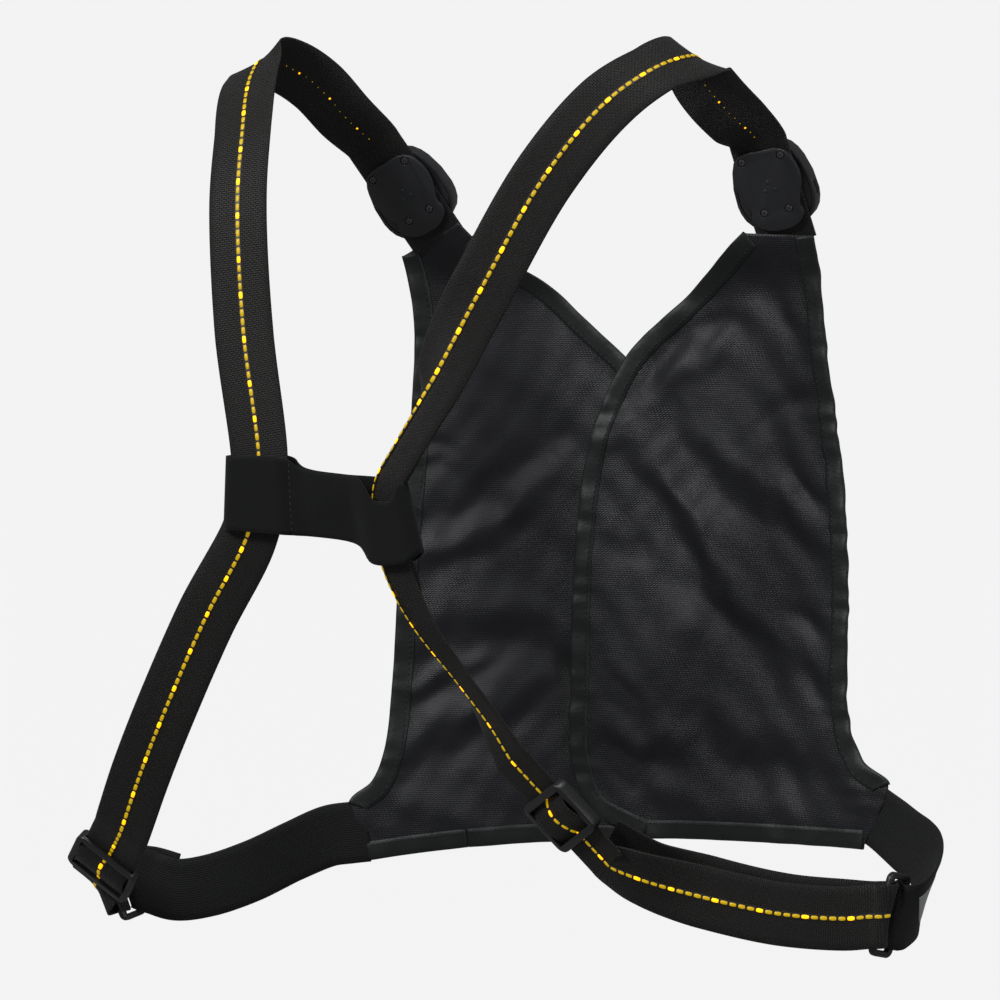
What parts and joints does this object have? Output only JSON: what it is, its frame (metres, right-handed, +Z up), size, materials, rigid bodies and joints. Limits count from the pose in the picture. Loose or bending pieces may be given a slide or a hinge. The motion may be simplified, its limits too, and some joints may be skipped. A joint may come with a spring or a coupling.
{
  "type": "illuminated harness vest",
  "caption": "Illuminated harness vest: folding chest bib, electronics pods and lit shoulder webbing joined by a back sleeve, with sliders, rings and elastic side bands.",
  "frame": {"origin": "between the wearer's shoulders, level with the tops of the two shoulder straps", "axes": "+X towards the wearer's right, +Y the way the wearer faces, +Z up"},
  "size_m": [0.5745, 0.2334, 0.567],
  "materials": {
    "webbing": "matte black woven nylon webbing",
    "cloth": "charcoal twill with a slight sheen",
    "binding": "satin binding tape",
    "elastic": "matte black ribbed elastic",
    "sleeve_knit": "matte black knitted elastic",
    "hook_and_loop": "hook-and-loop tape",
    "reflective_tape": "silver reflective tape",
    "light_string": "yellow flexible light string",
    "pod_plastic": "fine-textured dark grey moulding",
    "hardware_plastic": "satin dark grey moulding",
    "rubber": "soft black rubber",
    "steel": "black oxide steel",
    "circuit_board": "green laminate",
    "battery": "foil pouch",
    "clear_plastic": "diffusing light window"
  },
  "bodies": {
    "vest": {"left_webbing_strap": "webbing", "right_webbing_strap": "webbing", "left_light_string": "light_string", "right_light_string": "light_string", "left_elastic_band": "elastic", "left_reflective_tape": "reflective_tape", "right_elastic_band": "elastic", "right_reflective_tape": "reflective_tape", "right_front_panel": "cloth", "left_side_panel": "cloth", "right_armhole_binding": "binding", "left_armhole_binding": "binding", "closure_edge_binding": "binding", "right_hem_binding": "binding", "left_side_hem_binding": "binding", "hook_strip": "hook_and_loop", "back_connector_sleeve": "sleeve_knit", "left_pod_front_shell": "pod_plastic", "left_pod_rear_cover": "pod_plastic", "left_pod_cover_screw_1": "steel", "left_pod_cover_screw_2": "steel", "left_pod_cover_screw_3": "steel", "left_pod_cover_screw_4": "steel", "left_pod_base_plate": "pod_plastic", "left_pod_gasket": "rubber", "left_pod_circuit_board": "circuit_board", "left_pod_battery_cell": "battery", "left_pod_light_emitter": "clear_plastic", "left_pod_charge_socket": "steel", "right_pod_front_shell": "pod_plastic", "right_pod_rear_cover": "pod_plastic", "right_pod_cover_screw_1": "steel", "right_pod_cover_screw_2": "steel", "right_pod_cover_screw_3": "steel", "right_pod_cover_screw_4": "steel", "right_pod_base_plate": "pod_plastic", "right_pod_gasket": "rubber", "right_pod_circuit_board": "circuit_board", "right_pod_battery_cell": "battery", "right_pod_light_emitter": "clear_plastic", "right_pod_charge_socket": "steel"},
    "left_flap": {"left_front_flap": "cloth", "left_neck_binding": "binding", "left_flap_hem_binding": "binding", "left_flap_edge_binding": "binding", "loop_strip": "hook_and_loop"},
    "left_slider": {"left_slider": "hardware_plastic"},
    "right_slider": {"right_slider": "hardware_plastic"},
    "left_ring": {"left_ring": "hardware_plastic"},
    "right_ring": {"right_ring": "hardware_plastic"},
    "left_button": {"left_pod_push_button": "rubber"},
    "left_port_cover": {"left_pod_port_cover": "rubber"},
    "right_button": {"right_pod_push_button": "rubber"},
    "right_port_cover": {"right_pod_port_cover": "rubber"}
  },
  "joints": [
    {"name": "left_flap_fold", "type": "hinge", "parent": "vest", "child": "left_flap", "pos_m": [-0.097, 0.09455, -0.31], "axis": [0, 0, 1], "range_deg": [0, 80]},
    {"name": "left_slider_slide", "type": "slide", "parent": "vest", "child": "left_slider", "axis": [0.5499, -0.6198, 0.5599], "range_m": [0, 0.021]},
    {"name": "right_slider_slide", "type": "slide", "parent": "vest", "child": "right_slider", "axis": [0.655, 0.195, -0.73], "range_m": [-0.02, 0.018]},
    {"name": "left_ring_swing", "type": "hinge", "parent": "vest", "child": "left_ring", "pos_m": [-0.29341, -0.00006, -0.52359], "axis": [0.3215, 0.0703, -0.9443], "range_deg": [-3, 6]},
    {"name": "left_button_press", "type": "slide", "parent": "vest", "child": "left_button", "axis": [0.0966, -0.9521, -0.29], "range_m": [0, 0.001], "stiffness_N_per_m": 1000, "springref_m": -0.001},
    {"name": "left_port_cover_hinge", "type": "hinge", "parent": "vest", "child": "left_port_cover", "pos_m": [-0.15138, 0.08033, -0.09827], "axis": [-0.0966, 0.9521, 0.29], "range_deg": [0, 100]},
    {"name": "right_ring_swing", "type": "hinge", "parent": "vest", "child": "right_ring", "pos_m": [0.23123, -0.02533, -0.51316], "axis": [-0.201, -0.1708, -0.9646], "range_deg": [-4, 9]},
    {"name": "right_button_press", "type": "slide", "parent": "vest", "child": "right_button", "axis": [0.0196, -0.9527, -0.3031], "range_m": [0, 0.001], "stiffness_N_per_m": 1000, "springref_m": -0.001},
    {"name": "right_port_cover_hinge", "type": "hinge", "parent": "vest", "child": "right_port_cover", "pos_m": [0.14341, 0.07466, -0.07314], "axis": [0.0196, -0.9527, -0.3031], "range_deg": [0, 100]}
  ]
}
